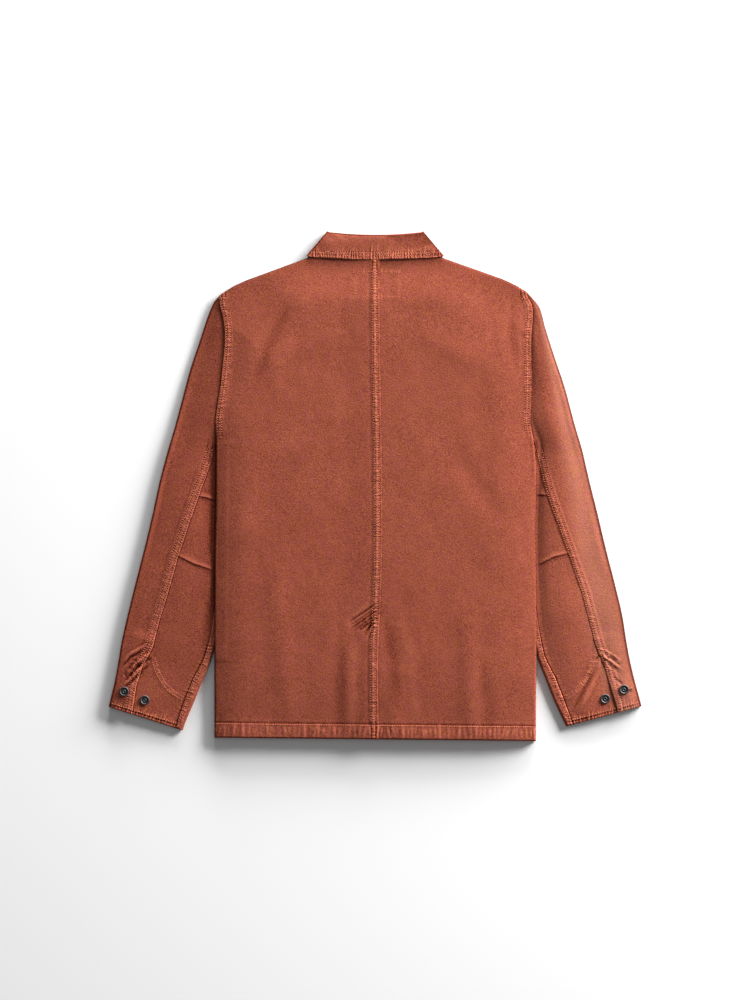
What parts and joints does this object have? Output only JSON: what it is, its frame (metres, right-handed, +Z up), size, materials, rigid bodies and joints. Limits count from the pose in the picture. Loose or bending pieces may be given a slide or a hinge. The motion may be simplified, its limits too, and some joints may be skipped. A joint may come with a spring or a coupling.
{
  "type": "chore jacket laid flat",
  "caption": "Chore jacket laid face down: turned-down collar, centre back seam with a hem vent, two-piece sleeves with buttoned cuff vents, and a button front underneath.",
  "frame": {"origin": "centre of the laid-out jacket's plan, on the surface that it lies on", "axes": "+X across the back to its right-hand sleeve as seen from above, +Y from the hem to the collar, +Z up, out of the back"},
  "size_m": [0.7984, 0.7642, 0.0084],
  "materials": {
    "canvas": "garment-dyed rust cotton canvas, matt, with paler worn seams",
    "button_metal": "dark gunmetal, satin"
  },
  "bodies": {
    "root": {"back_left": "canvas", "back_right": "canvas", "front_left": "canvas", "front_right": "canvas", "collar": "canvas", "sleeve_left_upper": "canvas", "sleeve_left_under": "canvas", "sleeve_right_upper": "canvas", "sleeve_right_under": "canvas", "cuff_button_left_1": "button_metal", "cuff_button_left_2": "button_metal", "cuff_button_right_1": "button_metal", "cuff_button_right_2": "button_metal", "front_button_1": "button_metal", "front_button_2": "button_metal", "front_button_3": "button_metal", "front_button_4": "button_metal", "front_button_5": "button_metal"}
  },
  "joints": []
}
